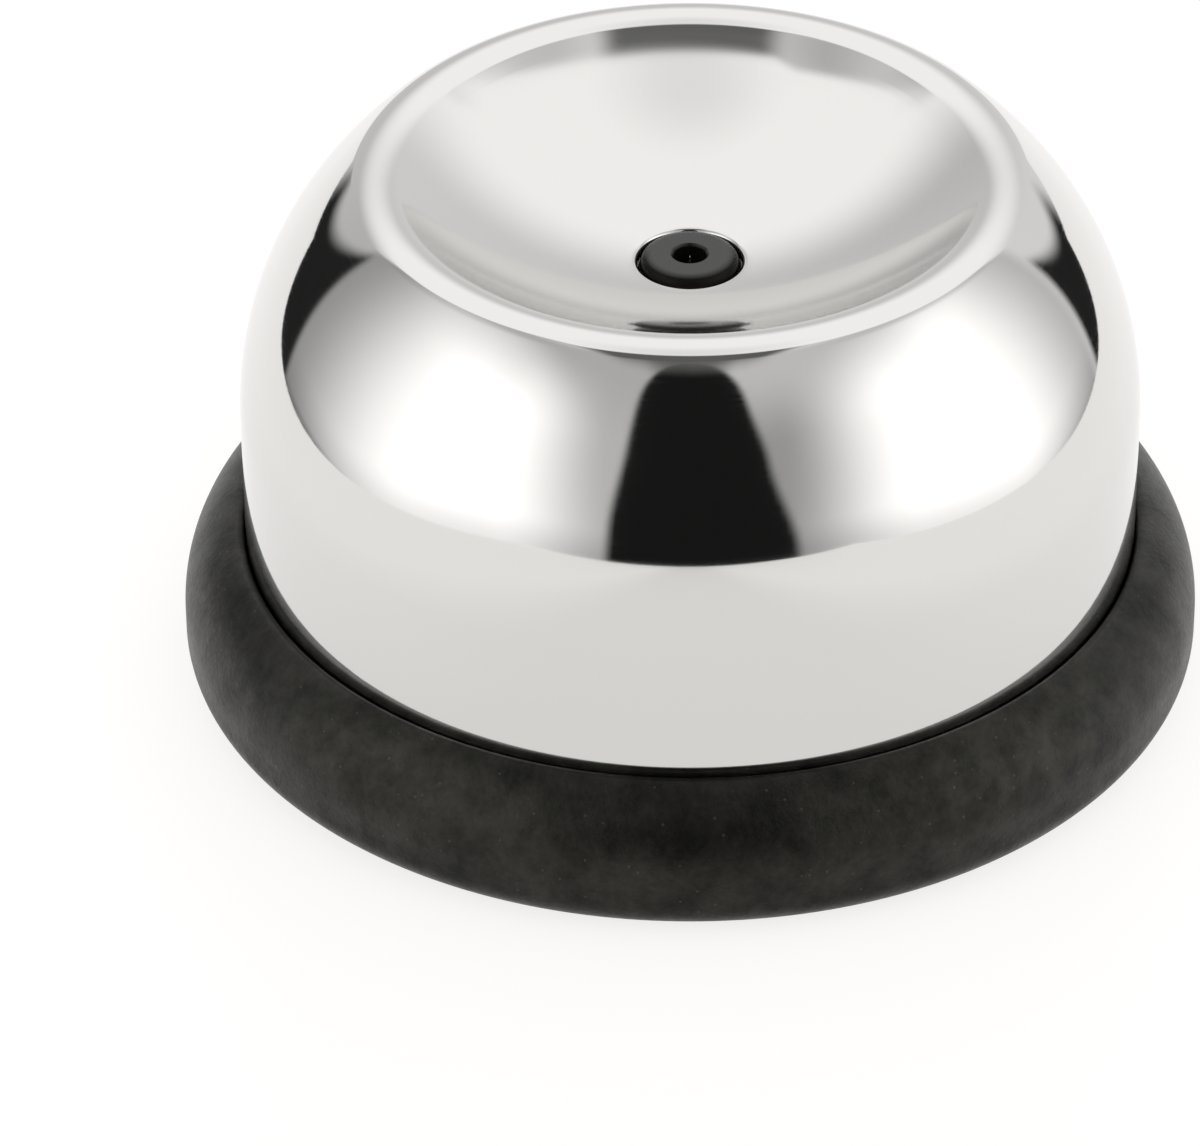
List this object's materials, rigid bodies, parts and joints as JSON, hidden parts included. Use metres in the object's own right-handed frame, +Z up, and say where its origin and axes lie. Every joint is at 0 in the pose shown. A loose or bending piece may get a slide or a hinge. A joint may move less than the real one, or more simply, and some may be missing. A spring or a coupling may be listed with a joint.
{
  "type": "egg piercer",
  "caption": "Polished steel dome with a concave egg seat, a sprung black plunger over a fixed needle at its centre, and a wide rubber foot ring.",
  "frame": {"origin": "on the axis of the dome, in the plane that the foot ring stands on", "axes": "+Z up along the axis of the dome, plunger and needle; the piece is round, so X and Y are free and lie square to the pattern of the screws"},
  "size_m": [0.062, 0.062, 0.0332],
  "materials": {
    "polished_steel": "mirror polished stainless sheet",
    "black_rubber": "moulded, matt",
    "black_abs": "moulded, fine texture",
    "natural_acetal": "moulded, natural",
    "plunger_black": "moulded, satin",
    "needle_steel": "ground and hardened",
    "hub_brass": "turned",
    "spring_steel": "drawn wire",
    "screw_steel": "zinc plated"
  },
  "bodies": {
    "housing": {"dome_shell": "polished_steel", "foot_ring": "black_rubber", "base_plate": "black_abs", "guide_turret": "natural_acetal", "needle": "needle_steel", "needle_hub": "hub_brass", "return_spring": "spring_steel", "base_screws": "screw_steel"},
    "plunger": {"plunger": "plunger_black"}
  },
  "joints": [
    {"name": "plunger_press", "type": "slide", "parent": "housing", "child": "plunger", "axis": [0, 0, -1], "range_m": [0, 0.003], "stiffness_N_per_m": 400, "springref_m": -0.003, "deforming": ["return_spring"]}
  ]
}
